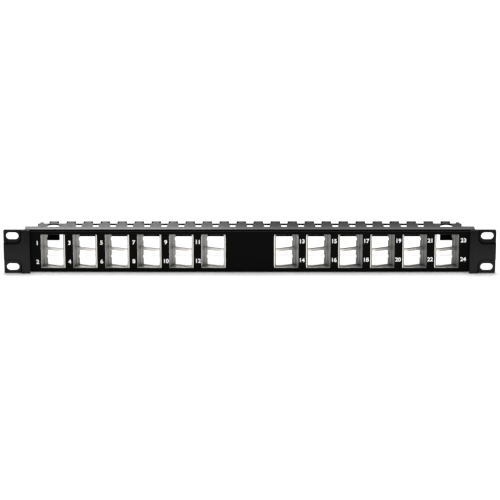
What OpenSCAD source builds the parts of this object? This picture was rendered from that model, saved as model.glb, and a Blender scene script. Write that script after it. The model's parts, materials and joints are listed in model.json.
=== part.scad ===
// 1U rack patch panel with side-angled, screened two-port holders.
// Origin: centre of the four rack slots, on the rear face of the ears. +X right, +Y to the rear, +Z up.

/* [Rack] */
// Overall width across the ears
panel_w = 482.6; // [480:0.1:483]
// Overall height, just under one rack unit
panel_h = 44.4; // [43.6:0.1:44.4]
// How far the panel's middle lies below the slots' middle
panel_drop = 0.05; // [0:0.05:0.3]
// Slot-to-slot distance across the rack
slot_dx = 465.1; // [464:0.1:466]
// Slot-to-slot distance up one rack unit
slot_dz = 31.75; // [31.5:0.05:32]
// Length of each rack slot, along X
slot_len = 12.2; // [9:0.1:14]
// Height of each rack slot
slot_h = 7.2; // [6.4:0.1:7.4]

/* [Ears] */
// Thickness of the ear plate in its pockets
ear_floor_t = 2; // [1.6:0.1:3]
// How far the raised strip and band stand in front of the pockets
ear_raise = 2.2; // [1:0.1:3]
// Half-distance from the panel's centre to the ears' inner edges
ear_in = 215.7; // [215.6:0.1:217]
// Width of the raised inner strip
ear_strip_w = 8; // [6:0.1:9]
// Half-height of the raised middle band
ear_band_hz = 7.9; // [6:0.1:9]
// Radius where the strip meets the band
ear_pocket_r = 6; // [2:0.5:7]
// Radius of the ears' outer corners
ear_corner_r = 1.5; // [0.5:0.1:3]

/* [Windows] */
// Windows on each side of the plain centre
windows_side = 6; // [1:1:6]
// Window-to-window distance
window_pitch = 31.5; // [31:0.1:31.7]
// Distance from the centre to the innermost window's middle
window_first = 35.7; // [34:0.1:36]
// Window width
window_w = 23.7; // [23:0.1:25]
// Window height
window_h = 35; // [34.6:0.1:35.4]
// Height of the windows' middle
window_z = -0.55; // [-0.8:0.05:0]

/* [Bezel] */
// Half-width of the bezel
bezel_hw = 214.7; // [212:0.1:215]
// Height of the bezel's top edge
bezel_top = 19.7; // [19.2:0.1:20.2]
// Height of the bezel's bottom edge
bezel_bottom = -21.65; // [-22:0.05:-21]
// Y of the bezel's front face
bezel_y = 0.4; // [0:0.1:1]
// Thickness of the bezel's face
bezel_t = 1.1; // [0.8:0.1:1.5]

/* [Chassis] */
// Half-width of the chassis
chassis_hw = 220.6; // [219:0.1:222]
// Height of its top face
chassis_top = 21.65; // [21:0.05:22]
// Outer radius of the bottom flange's bend
bend_r = 2; // [1.6:0.1:3]
// Sheet thickness
sheet_t = 1.5; // [1:0.1:1.8]
// Y of the rear edge of the short top flange
flange_y = 6.9; // [6:0.1:8]
// Y of the rear edge of the bottom flange
sill_y = 18.4; // [16:0.1:20]

/* [Port holders] */
// Angle that the ports are turned outwards
port_turn = 24; // [22:1:26]
// Thickness of the bar between the two ports
mid_bar = 2.5; // [1.2:0.1:2.6]
// Thickness of the port frame, square to its face
port_frame_t = 3.3; // [3:0.1:3.8]

/* [Cable comb] */
// Tab-to-tab distance of the comb
tab_pitch = 16.82; // [16:0.01:17]
// Tabs on each side of the centre
tabs_side = 12; // [4:1:12]
// Y of the comb's solid rear edge
comb_y = 21.4; // [21:0.1:23]
// Y of the tabs' rear edges
tab_y = 28.9; // [28.5:0.1:30.5]

/* [Cable bar] */
// Y of the bar's front face
bar_y = 58; // [50:1:60]
// Thickness of the bar
bar_t = 2; // [1.5:0.1:3]

/* [Hidden] */
$fn = 48;

z_top = panel_h / 2 - panel_drop;
z_bottom = -panel_h / 2 - panel_drop;
web_y = bezel_y + bezel_t;          // front face of the chassis web
web_back = web_y + sheet_t;
collar_t = 1;                       // wall of the bezel's window collars
collar_back = 5;                    // Y where the collars end
web_gap = 0.2;                      // collar to web
holder_gap = 0.2;                   // holder to window, each side

ear_front = -ear_floor_t - ear_raise;
ear_out = panel_w / 2;
ear_boss_out = chassis_hw;          // the boss that stands on the web
ear_screw_x = 218.2;
ear_screw_z = 13;
screw_r = 1.5;                      // M3
head_r = 2.75;

peg_r = 1.2;
pegs = [for (x = [14, 210.3], z = [-14, 14]) [x, z]];

arm_t = 3;                          // the bar's ends are doubled where they bolt on
cheek_in = chassis_hw - sheet_t;
bar_screw_y = 17;
bar_screw_z = -2;
bar_hz = [-3.2, 3.6];               // lower and upper edge of the bar
pad_z = -7.4;                       // lower edge of its end pads and arms
neck_z = -0.6;                      // lower edge of its necks
neck_x = [180, 191];
hole_y = 10.2;                      // front edge of the comb's holes
wing_y = 11.5;                      // rear edge of the comb's end wings
stud_root_r = 2.4;                  // under the washer and nut
stud_r = 2;                         // M4 end, for the earth lead
nut_back = web_back + 4.1;
stud_end = 17;
stud_z = -12;                       // below the bar, so that a lead's lug can reach it

function holder_name(i) = str("port_holder_", i < 10 ? "0" : "", i);
function window_x(i) = i <= windows_side
    ? -window_first - (windows_side - i) * window_pitch
    : window_first + (i - windows_side - 1) * window_pitch;
function arc(cx, cy, r, a0, a1, n = 8) =
    [for (k = [0:n]) let (a = a0 + (a1 - a0) * k / n) [cx + r * cos(a), cy + r * sin(a)]];
function tab_x(j) = (j + 0.5) * tab_pitch;

// An XZ outline made solid from y0 to y1
module plate_y(y0, y1) {
    translate([0, y1, 0]) rotate([90, 0, 0]) linear_extrude(y1 - y0) children();
}

// An XY outline made solid from z0 to z1
module plate_z(z0, z1) {
    translate([0, 0, z0]) linear_extrude(z1 - z0) children();
}

module box(p0, p1) {
    translate(p0) cube(p1 - p0);
}

module both_sides() {
    children();
    mirror([1, 0, 0]) children();
}

module rod_y(r, y0, y1) {
    translate([0, y1, 0]) rotate([90, 0, 0]) cylinder(r = r, h = y1 - y0);
}

module rod_x(r, x0, x1) {
    translate([x0, 0, 0]) rotate([0, 90, 0]) cylinder(r = r, h = x1 - x0);
}

module at_windows() {
    for (i = [1:2 * windows_side]) translate([window_x(i), 0, window_z]) children();
}

module at_stud() {
    translate([0, 0, stud_z]) children();
}

module at_pegs() {
    both_sides() for (p = pegs) translate([p[0], 0, p[1]]) children();
}

// Folded steel: a web with the windows, a short top flange, a bottom flange and two end cheeks
module chassis() {
    web_w = window_w + 2 * (collar_t + web_gap);
    web_h = window_h + 2 * (collar_t + web_gap);
    color("#17181a") difference() {
        union() {
            box([-chassis_hw, web_y, z_bottom], [chassis_hw, web_back, chassis_top]);
            box([-chassis_hw, web_back, chassis_top - sheet_t], [chassis_hw, flange_y, chassis_top]);
            box([-chassis_hw, web_back, z_bottom], [chassis_hw, sill_y, z_bottom + sheet_t]);
            both_sides() cheek();
        }
        at_windows() box([-web_w / 2, 0, -web_h / 2], [web_w / 2, web_back + 1, web_h / 2]);
        bottom_bend();
        at_pegs() rod_y(peg_r + 0.1, 0, flange_y);
        both_sides() for (s = [-1, 1]) translate([ear_screw_x, 0, s * ear_screw_z])
            rod_y(screw_r + 0.2, 0, flange_y);
        both_sides() translate([0, bar_screw_y, bar_screw_z]) rod_x(screw_r, 210, 230);
        at_stud() rod_y(stud_root_r, 0, flange_y);
    }
}

// What the bend takes off the bottom front edge
module bottom_bend() {
    translate([-chassis_hw - 1, web_y, z_bottom]) rotate([90, 0, 90]) linear_extrude(2 * chassis_hw + 2)
        polygon(concat([[-1, -1], [-1, bend_r]], arc(bend_r, bend_r, bend_r, 180, 270, 6), [[bend_r, -1]]));
}

// End cheek, stepped down behind the comb and notched round the ear screws' heads
module cheek() {
    difference() {
        union() {
            box([cheek_in, web_back, z_bottom + sheet_t], [chassis_hw, wing_y, chassis_top - sheet_t]);
            box([cheek_in, wing_y, z_bottom + sheet_t], [chassis_hw, 26, 8]);
        }
        for (s = [-1, 1]) translate([ear_screw_x, 0, s * ear_screw_z])
            rod_y(head_r + 0.4, web_back, web_back + 3);
    }
}

// Moulded front cover with a collar round each window
module bezel() {
    color("#101112") difference() {
        union() {
            box([-bezel_hw, bezel_y, bezel_bottom], [bezel_hw, web_y, bezel_top]);
            at_windows() box([-window_w / 2 - collar_t, web_y, -window_h / 2 - collar_t],
                [window_w / 2 + collar_t, collar_back, window_h / 2 + collar_t]);
            at_pegs() rod_y(peg_r, web_y, collar_back);
        }
        at_windows() box([-window_w / 2, -1, -window_h / 2], [window_w / 2, collar_back + 1, window_h / 2]);
    }
}

// Moulded ear for the right side: a slotted plate with a raised strip and middle band
module ear() {
    strip_out = ear_in + ear_strip_w;
    r = ear_pocket_r;
    cr = ear_corner_r;
    plate = concat([[ear_in, z_bottom]], arc(ear_out - cr, z_bottom + cr, cr, -90, 0, 6),
        arc(ear_out - cr, z_top - cr, cr, 0, 90, 6), [[ear_in, z_top]]);
    raised = concat([[ear_in, z_bottom], [strip_out, z_bottom]],
        arc(strip_out + r, -ear_band_hz - r, r, 180, 90),
        [[ear_out, -ear_band_hz], [ear_out, ear_band_hz]],
        arc(strip_out + r, ear_band_hz + r, r, -90, -180), [[strip_out, z_top], [ear_in, z_top]]);
    color("#26272a") difference() {
        union() {
            plate_y(-ear_floor_t, 0) polygon(plate);
            plate_y(ear_front, -ear_floor_t) polygon(raised);
            box([ear_in, 0, z_bottom], [ear_boss_out, web_y, z_top]);
        }
        for (s = [-1, 1]) {
            translate([slot_dx / 2, 0, s * slot_dz / 2]) rack_slot();
            translate([ear_screw_x, 0, s * ear_screw_z]) rod_y(screw_r, -2.6, web_y + 1);
        }
    }
}

module rack_slot() {
    run = slot_len / 2 - slot_h / 2;
    for (s = [-1, 1]) translate([s * run, 0, 0]) rod_y(slot_h / 2, ear_front - 1, 1);
    box([-run, ear_front - 1, -slot_h / 2], [run, 1, slot_h / 2]);
}

// Pan-head screw along +Y, head at the rear
module pan_screw(shank) {
    difference() {
        union() {
            rod_y(screw_r, -shank, 0);
            rod_y(head_r, 0, 1.9);
        }
        for (a = [0, 90]) rotate([0, a, 0]) box([-1.6, 0.9, -0.3], [1.6, 3, 0.3]);
    }
}

module ear_screws() {
    color("#8d8f92") both_sides() for (s = [-1, 1])
        translate([ear_screw_x, web_back, s * ear_screw_z]) pan_screw(5.4);
}

module bar_screws() {
    color("#8d8f92") both_sides() translate([cheek_in - arm_t, bar_screw_y, bar_screw_z])
        rotate([0, 0, 90]) pan_screw(arm_t + sheet_t);
}

// Two-port die-cast holder, z from the window's middle. In its outline, u runs inwards from the window's outer
// edge and v to the rear from the bezel's face. The ports face outwards by port_turn.
wall_u = 0.35;                      // outer wall's front edge
rim_u = window_w - 1.7;             // inner rim's inside face
lip_v = 0.3;                        // the holder's front plane
step_l = 9.85;                      // slanted length of the front wall
step_w = 0.3;                       // ledge where the port begins
bar_edges = [-16.05, 16.8];         // lower and upper edges of the ports
recess_z = [-16.75, 17];            // the recess's floor and ceiling
thin_bar = 1;                       // thickness of the bars above and below the ports

function along(p, a, l) = p + l * [sin(a), cos(a)];
function front_v(u, back = 0) = let (s = along([wall_u, lip_v], port_turn, step_l + back))
    s[1] - (u - s[0]) * tan(port_turn);

module holder() {
    in_u = window_w - holder_gap;
    hh = window_h / 2 - holder_gap;
    wall = [wall_u, lip_v];
    step = along(wall, port_turn, step_l);
    heel = [holder_gap, 3.9];
    back = port_frame_t;
    heel_l = (front_v(0, back) - heel[1] - heel[0] * tan(port_turn))
        / (cos(port_turn) + sin(port_turn) * tan(port_turn));
    color("#b3b1ab") difference() {
        plate_z(-hh, hh) polygon([[holder_gap, lip_v], [in_u, lip_v], [in_u, front_v(in_u, back)],
            along(heel, port_turn, heel_l), heel]);
        plate_z(recess_z[0], recess_z[1]) polygon([[wall_u - 0.4, lip_v - 1], wall, step,
            [rim_u, front_v(rim_u)], [rim_u, 1.2], [rim_u + 0.9, lip_v], [rim_u + 0.9, lip_v - 1]]);
        port([mid_bar / 2, bar_edges[1]], [mid_bar / 2, recess_z[1]]);
        port([bar_edges[0], -mid_bar / 2], [recess_z[0], -mid_bar / 2]);
        for (z = [9, -8.7]) latch_notch(z, 3);
    }
}

// One port through the frame, taller behind its thin front bar
module port(front, back) {
    plate_z(front[0], front[1]) port_outline(-0.3);
    plate_z(back[0], back[1]) port_outline(thin_bar);
}

module port_outline(from) {
    near = along([wall_u + step_w, lip_v], port_turn, step_l + from);
    rear = along([wall_u + step_w, lip_v], port_turn, step_l + port_frame_t + 3);
    polygon([near, rear, [rim_u, rear[1]], [rim_u, front_v(rim_u, from)]]);
}

// Notch in the rear edge of the outer wall, for a jack's latch
module latch_notch(z, h) {
    translate(concat(along([wall_u, lip_v], port_turn, step_l + port_frame_t - 1.6), [z - h / 2]))
        rotate([0, 0, -port_turn]) translate([-4, 0, 0]) cube([6, 4, h]);
}

module place_holder(i) {
    left = i <= windows_side;
    translate([window_x(i), bezel_y, window_z]) mirror([left ? 0 : 1, 0, 0])
        translate([-window_w / 2, 0, 0]) holder();
}

// Tie plate: a joggled tongue under the top flange, tie holes between the tabs, end holes and hooks
module cable_comb() {
    z0 = chassis_top - sheet_t;
    color("#17181a") difference() {
        union() {
            plate_z(z0, chassis_top) comb_outline();
            box([-cheek_in + 0.2, web_back + 0.2, z0 - sheet_t], [cheek_in - 0.2, flange_y + sheet_t, z0]);
        }
        for (k = [-tabs_side + 2:tabs_side - 2]) translate([k * tab_pitch, 0, z0 - 1]) tie_hole();
        both_sides() translate([tab_x(tabs_side - 1), 0, z0 - 1]) end_hole();
    }
}

module comb_outline() {
    both_sides() polygon(concat([[0, flange_y], [chassis_hw, flange_y], [chassis_hw, wing_y]],
        arc(210.5, wing_y + 3, 3, -90, -180),
        [[207.5, comb_y - 3.7], [208.9, comb_y - 2.9], [208.9, comb_y], [0, comb_y]]));
    both_sides() for (j = [0:tabs_side - 1]) translate([tab_x(j), 0]) tab();
    both_sides() {
        translate([203.4, comb_y - 1]) square([3.6, 3.6]);
        translate([205.2, comb_y + 2.6]) circle(r = 1.8);
    }
}

module tab() {
    polygon([[-5.7, comb_y], [-3, comb_y + 1.7], [-3, tab_y - 1.8], [-4.75, tab_y - 1.8],
        [-4.75, tab_y], [4.75, tab_y], [4.75, tab_y - 1.8], [3, tab_y - 1.8],
        [3, comb_y + 1.7], [5.7, comb_y], [5.7, comb_y - 1], [-5.7, comb_y - 1]]);
}

module tie_hole() {
    linear_extrude(4) polygon([[-2.65, hole_y], [2.65, hole_y], [3.25, hole_y + 9.5], [-3.25, hole_y + 9.5]]);
}

// Straight front edge and a bowed rear edge
module end_hole() {
    linear_extrude(4) polygon(concat([[-6.2, hole_y], [6.2, hole_y], [6.2, hole_y + 5]],
        [for (k = [1:9]) let (a = 18 * k) [6.2 * cos(a), hole_y + 5 + 5.3 * sin(a)]], [[-6.2, hole_y + 5]]));
}

// Flat steel bent to a U: bar with necks and end pads, and two arms that bolt inside the cheeks
module cable_bar() {
    hw = cheek_in;
    color("#141516") {
        difference() {
            box([-hw, bar_y, pad_z], [hw, bar_y + bar_t, bar_hz[1]]);
            box([-neck_x[0], bar_y - 1, pad_z - 1], [neck_x[0], bar_y + bar_t + 1, bar_hz[0]]);
            both_sides() box([neck_x[0] - 1, bar_y - 1, pad_z - 1], [neck_x[1], bar_y + bar_t + 1, neck_z]);
        }
        both_sides() difference() {
            box([hw - arm_t, 11, pad_z], [hw, bar_y, bar_hz[1]]);
            translate([0, bar_screw_y, bar_screw_z]) rod_x(screw_r + 0.2, 210, 230);
        }
    }
}

module push_nuts() {
    color("#9b9da0") at_pegs() difference() {
        rod_y(2.9, web_back, web_back + 0.8);
        rod_y(peg_r, web_back - 1, collar_back + 1);
    }
}

module earth_stud() {
    color("#a9abad") at_stud() {
        rod_y(stud_root_r, web_y, nut_back);
        rod_y(stud_r, nut_back, stud_end);
    }
}

module earth_washer() {
    color("#a9abad") at_stud() difference() {
        rod_y(4.7, web_back, web_back + 0.9);
        rod_y(stud_root_r, web_back - 1, nut_back);
    }
}

module earth_nut() {
    color("#b5a46a") at_stud() difference() {
        translate([0, nut_back, 0]) rotate([90, 0, 0]) cylinder(r = 4.62, h = 3.2, $fn = 6);
        rod_y(stud_root_r, web_back, stud_end);
    }
}

chassis();
bezel();
mirror([1, 0, 0]) ear();  // ear_left
ear();  // ear_right
for (i = [1:2 * windows_side]) place_holder(i);
cable_comb();
cable_bar();
ear_screws();
bar_screws();
push_nuts();
earth_stud();
earth_washer();
earth_nut();
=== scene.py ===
"""Looks of the rack patch panel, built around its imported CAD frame."""
import json
import math

import bmesh
import bpy
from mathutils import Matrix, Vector

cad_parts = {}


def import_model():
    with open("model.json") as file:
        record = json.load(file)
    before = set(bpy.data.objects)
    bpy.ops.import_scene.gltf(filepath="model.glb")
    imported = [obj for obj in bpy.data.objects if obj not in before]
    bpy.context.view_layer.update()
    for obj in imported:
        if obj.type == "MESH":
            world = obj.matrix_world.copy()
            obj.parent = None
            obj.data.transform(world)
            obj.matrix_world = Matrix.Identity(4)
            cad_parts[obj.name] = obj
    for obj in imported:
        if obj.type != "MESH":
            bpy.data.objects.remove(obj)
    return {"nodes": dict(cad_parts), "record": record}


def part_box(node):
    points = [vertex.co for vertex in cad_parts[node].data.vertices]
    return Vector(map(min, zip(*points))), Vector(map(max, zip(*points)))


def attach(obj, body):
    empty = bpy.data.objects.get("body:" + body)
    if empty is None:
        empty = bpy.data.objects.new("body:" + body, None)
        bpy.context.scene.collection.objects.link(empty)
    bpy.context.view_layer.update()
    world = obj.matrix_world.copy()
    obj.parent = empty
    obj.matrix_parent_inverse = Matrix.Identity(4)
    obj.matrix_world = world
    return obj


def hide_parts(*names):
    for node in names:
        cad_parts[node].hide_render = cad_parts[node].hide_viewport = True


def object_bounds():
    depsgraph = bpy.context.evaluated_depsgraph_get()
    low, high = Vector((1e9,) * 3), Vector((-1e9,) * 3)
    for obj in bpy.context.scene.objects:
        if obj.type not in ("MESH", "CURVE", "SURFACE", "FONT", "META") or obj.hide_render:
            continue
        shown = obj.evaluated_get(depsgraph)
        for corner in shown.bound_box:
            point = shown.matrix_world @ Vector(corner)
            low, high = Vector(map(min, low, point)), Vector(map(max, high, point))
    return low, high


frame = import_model()
cad_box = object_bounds()
nodes = frame["nodes"]
scene = bpy.context.scene

MM = 0.001
PANEL = "panel"                     # the body that everything but the holders rides on
HOLDERS = sorted(n for n in nodes if n.startswith("port_holder_"))
HALF = len(HOLDERS) // 2


# ---------------------------------------------------------------- places, from the frame

def node_box(name):
    """Lowest and highest corner of a CAD node, as vectors in metres."""
    low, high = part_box(name)
    return Vector(low), Vector(high)


BEZEL_LOW = node_box("bezel")[0]
EAR_LOW, EAR_HIGH = node_box("ear_right")
CHASSIS_HIGH = node_box("chassis")[1]
CEILING = node_box(HOLDERS[0])[1].z - 0.3 * MM    # of the holders' recesses
SILL = node_box(HOLDERS[0])[0].z                  # the holders' lowest edge
RACK = next(m for m in frame["record"]["mounts"] if m["name"] == "rack_slots")["dims"]


# ---------------------------------------------------------------- materials

class Material:
    """A node material with short calls for the nodes that the finishes below share."""

    def __init__(self, name, roughness, metallic=0.0, **sockets):
        self.material = bpy.data.materials.new(name)
        self.material.use_nodes = True
        self.tree = self.material.node_tree
        self.shader = self.tree.nodes["Principled BSDF"]
        self.shader.inputs["Metallic"].default_value = metallic
        self.shader.inputs["Roughness"].default_value = roughness
        for socket, value in sockets.items():
            self.shader.inputs[socket.replace("_", " ")].default_value = value
        coordinates = self.tree.nodes.new("ShaderNodeTexCoord").outputs
        self.place = coordinates["Object"]
        self.box_place = coordinates["Generated"]    # 0 to 1 across the object's own box

    def link(self, a, b):
        self.tree.links.new(a, b)

    def noise(self, scale, detail=3.0, stretch=None, roughness=0.55):
        """Noise of that many cells per metre, over the object's own coordinates."""
        node = self.tree.nodes.new("ShaderNodeTexNoise")
        node.inputs["Scale"].default_value = scale
        node.inputs["Detail"].default_value = detail
        node.inputs["Roughness"].default_value = roughness
        place = self.place
        if stretch:
            mapping = self.tree.nodes.new("ShaderNodeMapping")
            mapping.inputs["Scale"].default_value = stretch
            self.link(self.place, mapping.inputs["Vector"])
            place = mapping.outputs["Vector"]
        self.link(place, node.inputs["Vector"])
        return node.outputs["Fac"]

    def ramp(self, source, stops):
        """Colours or greys over a 0 to 1 source. A stop is (place, value)."""
        node = self.tree.nodes.new("ShaderNodeValToRGB")
        elements = node.color_ramp.elements
        while len(elements) < len(stops):
            elements.new(0.5)
        for element, (at, value) in zip(elements, stops):
            element.position = at
            grey = isinstance(value, (int, float))
            element.color = (value, value, value, 1) if grey else (*value, 1)
        self.link(source, node.inputs["Fac"])
        return node.outputs["Color"]

    def bump(self, height, depth, strength=1.0, under=None):
        """Bump of that depth in metres, over an earlier bump if there is one."""
        node = self.tree.nodes.new("ShaderNodeBump")
        node.inputs["Strength"].default_value = strength
        node.inputs["Distance"].default_value = depth
        self.link(height, node.inputs["Height"])
        if under:
            self.link(under, node.inputs["Normal"])
        self.link(node.outputs["Normal"], self.shader.inputs["Normal"])
        return node.outputs["Normal"]

    def mix(self, factor, a, b, mode="MIX"):
        node = self.tree.nodes.new("ShaderNodeMix")
        node.data_type = "RGBA"
        node.blend_type = mode
        sockets = [s for s in node.inputs if s.type == "RGBA"]
        for socket, value in zip(sockets, (a, b)):
            if hasattr(value, "is_linked"):
                self.link(value, socket)
            else:
                socket.default_value = (*value, 1)
        if hasattr(factor, "is_linked"):
            self.link(factor, node.inputs["Factor"])
        else:
            node.inputs["Factor"].default_value = factor
        return next(s for s in node.outputs if s.type == "RGBA")

    def along(self, axis, low, high, place=None):
        """0 to 1 from one coordinate of the object to another."""
        split = self.tree.nodes.new("ShaderNodeSeparateXYZ")
        self.link(place or self.place, split.inputs["Vector"])
        node = self.tree.nodes.new("ShaderNodeMapRange")
        node.inputs["From Min"].default_value = low
        node.inputs["From Max"].default_value = high
        self.link(split.outputs[axis], node.inputs["Value"])
        return node.outputs["Result"]

    def facing(self, axis):
        """1 on faces square to an axis, 0 on those along it. Z counts only faces that look up."""
        split = self.tree.nodes.new("ShaderNodeSeparateXYZ")
        self.link(self.tree.nodes.new("ShaderNodeNewGeometry").outputs["Normal"], split.inputs["Vector"])
        amount = split.outputs[axis]
        if axis != "Z":
            size = self.tree.nodes.new("ShaderNodeMath")
            size.operation = "ABSOLUTE"
            self.link(amount, size.inputs[0])
            amount = size.outputs["Value"]
        return self.ramp(amount, [(0.45, 0.0), (0.85, 1.0)])

    def colour(self, source):
        self.link(source, self.shader.inputs["Base Color"])

    def roughness(self, source):
        self.link(source, self.shader.inputs["Roughness"])


def powder_coat(name, base, low, high, gloss, top_light):
    """Satin black powder coat: fine orange peel, faint cloudiness, and a painted sheen on faces that look
    up, brightest at the front and fading to the rear.
    """
    m = Material(name, 0.4)
    m.link(m.mix(m.facing("Z"), [0.2 * gloss] * 3, [gloss] * 3), m.shader.inputs["Specular IOR Level"])
    cloud = m.noise(60, 4)
    plain = m.mix(cloud, [c * 0.8 for c in base], [c * 1.2 for c in base])
    # Painted sheen: faces that look up are lighter, most at the front and fading to the rear, broken up by
    # noise.
    top_sheen = m.ramp(m.along("Y", 0.0015, 0.028),
                  [(0.0, top_light), (0.2, top_light * 0.75), (0.4, top_light * 0.4), (1.0, 0.004)])
    top_sheen = m.mix(m.noise(700, 4), top_sheen, m.mix(1.0, top_sheen, (0.6, 0.6, 0.6), "MULTIPLY"))
    m.colour(m.mix(m.facing("Z"), plain, top_sheen))
    m.roughness(m.ramp(m.noise(240, 3), [(0.3, low), (0.7, high)]))
    m.bump(m.noise(1800, 2), 0.00004, 0.35)
    return m.material


def moulded_black(name, base, low, top_light, roughness, specular, grain, depth):
    """Moulded plastic with a spark-eroded grain, paler low down, with a painted highlight on faces that look
    up.
    """
    m = Material(name, roughness, Specular_IOR_Level=specular)
    height = m.along("Z", 0.02, -0.02)
    plain = m.mix(m.noise(90, 4), [c * 0.8 for c in base], [c * 1.25 for c in base])
    plain = m.mix(height, plain, low)
    # Painted highlight: faces that look up take a lighter colour.
    m.colour(m.mix(m.facing("Z"), plain, top_light))
    m.roughness(m.ramp(m.noise(grain * 0.5, 3), [(0.3, roughness - 0.07), (0.7, roughness + 0.07)]))
    coarse = m.bump(m.noise(grain, 3, roughness=0.65), depth, 0.8)
    m.bump(m.noise(grain * 3, 2), depth * 0.3, 0.5, coarse)
    return m.material


def nickel(name, inner):
    """Nickel plate on a die casting: cast skin, cloudy gloss, slightly warm, with painted shade deep inside
    the recesses, painted light falling off from left to right and a painted highlight on the front rim.

    inner: the X direction of the panel's middle, where the painted highlight on the front rim is brightest."""
    m = Material(name, 0.3, metallic=1.0)
    cloud = m.noise(110, 4, roughness=0.6)
    plate = m.mix(cloud, (0.78, 0.76, 0.72), (0.92, 0.90, 0.86))
    # Painted shade on the side walls, darker deeper into the recess, with a painted highlight band part way
    # in.
    side_shade = m.ramp(m.along("Y", 0.0007, 0.0127),
                   [(0.0, 0.4), (0.25, 0.36), (0.4, 0.25), (0.52, 0.19),
                    (0.55, 0.5), (0.64, 0.5), (0.68, 0.34), (1.0, 0.36)])
    shade = m.mix(m.facing("X"), (1.0, 1.0, 1.0), side_shade)
    # Painted light and shade on faces that look up: light near the sill, shade higher up.
    ledge_light = m.ramp(m.along("Z", SILL + 1.6 * MM, SILL + 3.6 * MM), [(0.0, 0.85), (1.0, 0.34)])
    shade = m.mix(m.facing("Z"), shade, ledge_light)
    # Painted light across the panel: brightest at the left, darker to the right.
    light_across = m.ramp(m.along("X", -0.2, 0.2), [(0.0, 1.0), (0.45, 0.95), (0.55, 0.75), (1.0, 0.62)])
    # Painted highlight: front faces in the first 2 to 4 mm, on each holder's side towards the middle, made
    # lighter, warmer and smoother.
    lip_highlight = m.mix(m.along("X", 0.5, 0.5 + 0.02 * inner, m.box_place), (0.0, 0.0, 0.0), m.facing("Y"))
    lip_highlight = m.mix(m.along("Y", 0.002, 0.004), lip_highlight, (0.0, 0.0, 0.0))
    light_across = m.mix(lip_highlight, light_across, (1.1, 1.08, 1.04))
    # Painted shade in the top 0.4 mm, under the recess ceiling.
    shade = m.mix(m.along("Z", CEILING - 0.4 * MM, CEILING), shade, (0.03, 0.03, 0.03))
    # Painted shade along the bottom edge, just above the sill.
    shade = m.mix(m.along("Z", SILL + 0.6 * MM, SILL + 0.2 * MM), shade, (0.2, 0.2, 0.2))
    m.colour(m.mix(1.0, m.mix(1.0, plate, shade, "MULTIPLY"), light_across, "MULTIPLY"))
    dull = m.ramp(m.noise(500, 4), [(0.3, 0.4), (0.7, 0.54)])
    m.roughness(m.mix(lip_highlight, dull, (0.2, 0.2, 0.2)))
    skin = m.bump(m.noise(900, 3), 0.00005, 0.5)
    m.bump(m.noise(160, 2), 0.00012, 0.25, skin)
    return m.material


def plated_steel(name, base):
    """Bright zinc plate with fine turning lines."""
    m = Material(name, 0.28, metallic=1.0)
    m.colour(m.mix(m.noise(300, 3), [c * 0.85 for c in base], base))
    m.roughness(m.ramp(m.noise(800, 3), [(0.3, 0.2), (0.7, 0.36)]))
    m.bump(m.noise(3000, 2, stretch=(1, 0.1, 1)), 0.00002, 0.4)
    return m.material


def printed_white(name):
    """Screen-printed ink, a little uneven, with a painted glow that lights it though it is no lamp."""
    m = Material(name, 0.55, Specular_IOR_Level=0.3)
    ink = m.mix(m.noise(1400, 3), (0.78, 0.78, 0.79), (0.92, 0.92, 0.92))
    m.colour(ink)
    # Painted glow: the ink emits its own colour, though it is no lamp.
    m.link(ink, m.shader.inputs["Emission Color"])
    m.shader.inputs["Emission Strength"].default_value = 0.5
    m.bump(m.noise(4000, 2), 0.00001, 0.4)
    return m.material


STEEL = powder_coat("black_steel", (0.002, 0.002, 0.0022), 0.24, 0.34, 0.14, 0.1)
COMB_STEEL = powder_coat("comb_steel", (0.003, 0.003, 0.0033), 0.28, 0.38, 0.08, 0.1)
BAR_STEEL = powder_coat("bar_steel", (0.0012, 0.0012, 0.0013), 0.45, 0.55, 0.03, 0.01)
BEZEL = moulded_black("black_bezel", (0.003, 0.003, 0.0033), (0.0035, 0.0035, 0.0038), (0.03, 0.03, 0.031),
                      0.5, 0.035, 2600, 0.00003)
EAR = moulded_black("black_ear", (0.008, 0.008, 0.0087), (0.024, 0.024, 0.025), (0.014, 0.014, 0.015),
                    0.55, 0.11, 1500, 0.00009)
# Painted shade: a darker black without gloss on the faces of the step round the pockets.
EAR_STEP_SHADE = moulded_black("black_ear_step_shade", (0.002, 0.002, 0.0023), (0.004, 0.004, 0.0044),
                         (0.006, 0.006, 0.0065), 0.6, 0.0, 1500, 0.00005)
# Two copies, so that each half's painted highlight on the front rim lies towards the middle.
NICKEL = (nickel("nickel_casting_left", 1), nickel("nickel_casting_right", -1))
ZINC = plated_steel("zinc_steel", (0.62, 0.63, 0.65))
BRASS = plated_steel("brass", (0.72, 0.55, 0.28))
INK = printed_white("printed_ink")

FINISHES = {
    "chassis": STEEL, "cable_comb": COMB_STEEL, "cable_bar": BAR_STEEL, "bezel": BEZEL,
    "ear_screws": ZINC, "bar_screws": ZINC, "push_nuts": ZINC,
    "earth_stud": ZINC, "earth_washer": ZINC, "earth_nut": BRASS,
}
# Radius of the broken edges of each node
EDGES = {
    "chassis": 0.35, "cable_comb": 0.2, "cable_bar": 0.3, "bezel": 0.2,
    "ear_screws": 0.2, "bar_screws": 0.2, "push_nuts": 0.1, "earth_washer": 0.15, "earth_nut": 0.2,
}


def finish_node(name, material, edge):
    """A CAD node keeps its mesh, and gets its finish and broken edges."""
    obj = nodes[name]
    obj.data.materials.clear()
    obj.data.materials.append(material)
    if edge:
        bevel = obj.modifiers.new("edges", "BEVEL")
        bevel.width = edge * MM
        bevel.segments = 2
        bevel.limit_method = "ANGLE"
        bevel.angle_limit = math.radians(35)
        bevel.harden_normals = True


for name, material in FINISHES.items():
    finish_node(name, material, EDGES.get(name))
for index, name in enumerate(HOLDERS):
    finish_node(name, NICKEL[index // HALF], 0.25)


# ---------------------------------------------------------------- ears

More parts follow.
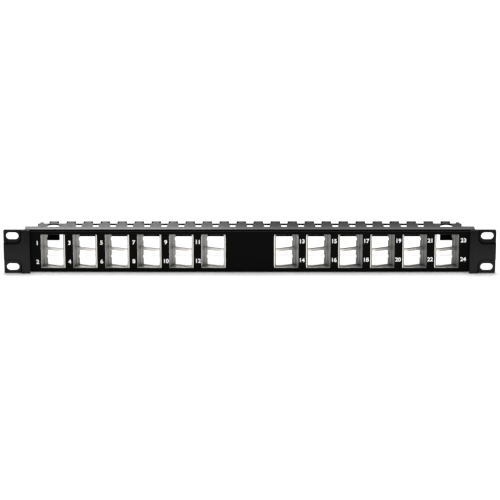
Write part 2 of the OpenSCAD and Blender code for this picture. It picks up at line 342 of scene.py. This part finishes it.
SLOT_X = RACK["spacing_x_mm"] / 2
SLOT_Z = RACK["spacing_y_mm"] / 2
SLOT_R = RACK["hole_r_mm"]
SLOT_RUN = RACK["slot_length_mm"] / 2 - SLOT_R
EAR_FLOOR = -2.0                    # mm, front of the pockets round the slots
EAR_CORNER = 1.5
STRIP = 8.0                         # width of the raised inner strip
BAND = 7.9                          # half-height of the raised middle band
POCKET_R = 6.0                      # where strip and band meet
# The raised part's edge: how far it stands out into the pocket, how far in from the ear's outline, and y
STEP = [(-0.4, 0.4, -4.2), (-0.1, 0.12, -4.14), (0.05, 0.03, -4.0), (0.12, 0, -3.85), (0.72, 0, -2.3),
        (0.85, 0, -2.1), (1.15, 0, -1.99), (1.15, 0, -1.2)]


def arc(centre, radius, start, end, steps=10):
    """Points round a centre, from start to end degrees."""
    angles = [math.radians(start + (end - start) * k / steps) for k in range(steps + 1)]
    return [(centre[0] + radius * math.cos(a), centre[1] + radius * math.sin(a)) for a in angles]


def raised_outline(out, inset):
    """The strip and band, out mm wider into the pockets and inset mm inside the ear's own outline."""
    inner, outer = EAR_LOW.x / MM + inset, EAR_HIGH.x / MM - inset
    bottom, top = EAR_LOW.z / MM + inset, EAR_HIGH.z / MM - inset
    strip = EAR_LOW.x / MM + STRIP
    points = [(inner, bottom), (strip + out, bottom)]
    points += arc((strip + POCKET_R, -BAND - POCKET_R), POCKET_R - out, 180, 90)
    points += [(outer, -BAND - out), (outer, BAND + out)]
    points += arc((strip + POCKET_R, BAND + POCKET_R), POCKET_R - out, -90, -180)
    return points + [(strip + out, top), (inner, top)]


def solid_from_loops(name, loops):
    """A closed solid through loops of (x, y, z) in mm, capped at both ends."""
    mesh = bmesh.new()
    rings = [[mesh.verts.new([c * MM for c in point]) for point in loop] for loop in loops]
    for lower, upper in zip(rings, rings[1:]):
        for k in range(len(lower)):
            n = (k + 1) % len(lower)
            mesh.faces.new((lower[k], lower[n], upper[n], upper[k]))
    mesh.faces.new(rings[0][::-1])
    mesh.faces.new(rings[-1])
    bmesh.ops.recalc_face_normals(mesh, faces=mesh.faces)
    return object_from(name, mesh)


def object_from(name, mesh):
    data = bpy.data.meshes.new(name)
    mesh.to_mesh(data)
    mesh.free()
    obj = bpy.data.objects.new(name, data)
    scene.collection.objects.link(obj)
    return obj


def slotted_plate(name):
    """The ear's plate with its two slots, all edges broken."""
    bevel = 0.22
    curve = bpy.data.curves.new(name, "CURVE")
    curve.dimensions = "2D"
    curve.fill_mode = "BOTH"
    curve.extrude = (-EAR_FLOOR / 2 - bevel) * MM
    curve.bevel_depth = bevel * MM
    curve.bevel_resolution = 2
    curve.offset = -bevel * MM
    inner, outer = EAR_LOW.x / MM + 0.3, EAR_HIGH.x / MM
    bottom, top = EAR_LOW.z / MM, EAR_HIGH.z / MM
    r = EAR_CORNER
    outline = [(inner, bottom)] + arc((outer - r, bottom + r), r, -90, 0)
    outline += arc((outer - r, top - r), r, 0, 90) + [(inner, top)]
    loops = [outline]
    for z in (-SLOT_Z, SLOT_Z):
        outer_end = arc((SLOT_X + SLOT_RUN, z), SLOT_R, -90, 90, 16)
        inner_end = arc((SLOT_X - SLOT_RUN, z), SLOT_R, 90, 270, 16)
        loops.append(outer_end + inner_end)
    for loop in loops:
        spline = curve.splines.new("POLY")
        spline.points.add(len(loop) - 1)
        for point, (x, z) in zip(spline.points, loop):
            point.co = (x * MM, z * MM, 0, 1)
        spline.use_cyclic_u = True
    made = bpy.data.objects.new(name + "_curve", curve)
    scene.collection.objects.link(made)
    bpy.context.view_layer.update()
    data = bpy.data.meshes.new_from_object(made.evaluated_get(bpy.context.evaluated_depsgraph_get()))
    bpy.data.objects.remove(made)
    mesh = bmesh.new()
    mesh.from_mesh(data)
    bmesh.ops.remove_doubles(mesh, verts=mesh.verts, dist=0.00001)
    for vert in mesh.verts:         # the curve lies in XY: stand it up, rear face at y = 0
        x, z, y = vert.co
        vert.co = (x, EAR_FLOOR / 2 * MM - y, z)
    bmesh.ops.recalc_face_normals(mesh, faces=mesh.faces)
    return object_from(name, mesh)


def joined(obj, *others):
    """obj with the others added by union."""
    for other in others:
        union = obj.modifiers.new("union", "BOOLEAN")
        union.operation = "UNION"
        union.solver = "EXACT"
        union.object = other
        bpy.context.view_layer.update()
        data = bpy.data.meshes.new_from_object(obj.evaluated_get(bpy.context.evaluated_depsgraph_get()))
        obj.modifiers.clear()
        obj.data = data
        bpy.data.objects.remove(other)
    return obj


def smooth(obj, angle=30):
    """Smooth faces that meet at less than the angle."""
    for polygon in obj.data.polygons:
        polygon.use_smooth = True
    obj.data.set_sharp_from_angle(angle=math.radians(angle))


def is_step(polygon):
    """Whether a face of an ear is part of the step between its raised part and its pockets."""
    x, y, z = polygon.center / MM
    inside = abs(x) < EAR_HIGH.x / MM - 0.3 and EAR_LOW.z / MM + 0.3 < z < EAR_HIGH.z / MM - 0.3
    return inside and abs(x) > EAR_LOW.x / MM + 4 and -4.1 < y < -1.9 and abs(polygon.normal.y) < 0.97


def ear(name, side):
    raised = solid_from_loops(name + "_raised", [[(x, y, z) for x, z in raised_outline(out, inset)]
                                                 for out, inset, y in STEP])
    boss_out = CHASSIS_HIGH.x / MM
    low, high = EAR_LOW / MM, EAR_HIGH / MM
    boss = solid_from_loops(name + "_boss", [[(low.x, y, low.z), (boss_out, y, low.z), (boss_out, y, high.z),
                                             (low.x, y, high.z)] for y in (-1.0, high.y)])
    obj = joined(slotted_plate(name + "_shell"), raised, boss)
    if side < 0:
        for vert in obj.data.vertices:
            vert.co.x = -vert.co.x
        obj.data.flip_normals()
    obj.data.materials.clear()
    obj.data.materials.append(EAR)
    obj.data.materials.append(EAR_STEP_SHADE)
    # The step's faces take the painted shade.
    for polygon in obj.data.polygons:
        polygon.material_index = int(is_step(polygon))
    smooth(obj)
    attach(obj, PANEL)
    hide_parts(name)


ear("ear_left", -1)
ear("ear_right", 1)


# ---------------------------------------------------------------- port numbers

NUMBER_SIZE = 5.7 * MM
NUMBER_OUT = (3.6 * MM, 3.8 * MM, 4.7 * MM)   # from a holder to its numbers: left half, right half, last
NUMBER_ROWS = (9.1 * MM, -10.3 * MM)
PRINT_RISE = 0.0066                 # the print runs up this much per metre to the right


def port_number(number, x, z):
    """A printed number, centred at x and z on the bezel's face."""
    curve = bpy.data.curves.new("number_%02d" % number, "FONT")
    curve.body = str(number)
    curve.size = NUMBER_SIZE
    curve.align_x = "CENTER"
    curve.align_y = "CENTER"
    curve.offset = 0.12 * MM
    curve.extrude = 0.02 * MM
    text = bpy.data.objects.new(curve.name, curve)
    scene.collection.objects.link(text)
    text.rotation_euler = (math.radians(90), 0, 0)
    text.location = (x, BEZEL_LOW.y - 0.02 * MM, z)
    bpy.context.view_layer.update()
    mesh = bpy.data.meshes.new_from_object(text.evaluated_get(bpy.context.evaluated_depsgraph_get()))
    mesh.transform(text.matrix_world)
    bpy.data.objects.remove(text)
    obj = bpy.data.objects.new("number_%02d" % number, mesh)
    scene.collection.objects.link(obj)
    obj.data.materials.append(INK)
    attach(obj, PANEL)


for index, name in enumerate(HOLDERS):
    low, high = node_box(name)
    if index < HALF:
        x = low.x - NUMBER_OUT[0]
    else:
        x = high.x + NUMBER_OUT[2 if name == HOLDERS[-1] else 1]
    for port, row in enumerate(NUMBER_ROWS):
        port_number(2 * index + 1 + port, x, row + PRINT_RISE * x)


# ---------------------------------------------------------------- floor, light, camera

FLOOR_GLOW = (0.04, 0.25, 0.9)      # light added to the floor near the part, at 0.45 m and from 1 m on


def floor():
    mesh = bpy.data.meshes.new("floor")
    size = 12
    z = cad_box[0][2]
    corners = [(-size, -size, z), (size, -size, z), (size, size, z), (-size, size, z)]
    mesh.from_pydata(corners, [], [(0, 1, 2, 3)])
    obj = bpy.data.objects.new("floor", mesh)
    scene.collection.objects.link(obj)
    m = Material("floor_paint", 0.9, Specular_IOR_Level=0.0)
    paint = m.mix(m.noise(3, 3), (0.86, 0.86, 0.86), (0.88, 0.88, 0.88))
    m.colour(paint)
    m.link(paint, m.shader.inputs["Emission Color"])
    distance = m.tree.nodes.new("ShaderNodeVectorMath")
    distance.operation = "LENGTH"
    m.link(m.place, distance.inputs[0])
    near, middle, far = FLOOR_GLOW
    glow = m.ramp(distance.outputs["Value"], [(0.1, near), (0.45, middle), (1.0, far)])
    m.link(glow, m.shader.inputs["Emission Strength"])
    obj.data.materials.append(m.material)


def area_light(name, place, target, size, power):
    data = bpy.data.lights.new(name, "AREA")
    data.shape = "RECTANGLE"
    data.size, data.size_y = size
    data.energy = power
    obj = bpy.data.objects.new(name, data)
    obj.visible_camera = False
    obj.location = place
    obj.rotation_euler = (Vector(target) - Vector(place)).to_track_quat("-Z", "Y").to_euler()
    scene.collection.objects.link(obj)


def world(strength):
    scene.world = bpy.data.worlds.new("studio")
    scene.world.use_nodes = True
    background = scene.world.node_tree.nodes["Background"]
    background.inputs["Color"].default_value = (1, 1, 1, 1)
    background.inputs["Strength"].default_value = strength


def camera(distance, elevation, lens, aim):
    data = bpy.data.cameras.new("camera")
    data.lens = lens
    data.sensor_width = 36
    data.clip_end = 50
    obj = bpy.data.objects.new("camera", data)
    back = Vector((0, -math.cos(elevation), math.sin(elevation)))
    obj.location = Vector(aim) + back * distance
    obj.rotation_euler = (-back).to_track_quat("-Z", "Y").to_euler()
    scene.collection.objects.link(obj)
    scene.camera = obj


floor()
world(0.28)
area_light("overhead", (0, 0.32, 2.2), (0, 0.32, 0), (1.3, 1.1), 57)
area_light("back_left", (-0.5, 1.1, 0.42), (-0.1, 0, 0), (1.0, 0.5), 3.9)
area_light("back_right", (0.35, 1.1, 0.42), (0.1, 0, 0), (0.6, 0.5), 0.4)
camera(2.4, math.radians(17.6), 176.25, (0.0002, -0.002, 0.0015))
scene.view_settings.view_transform = "Standard"
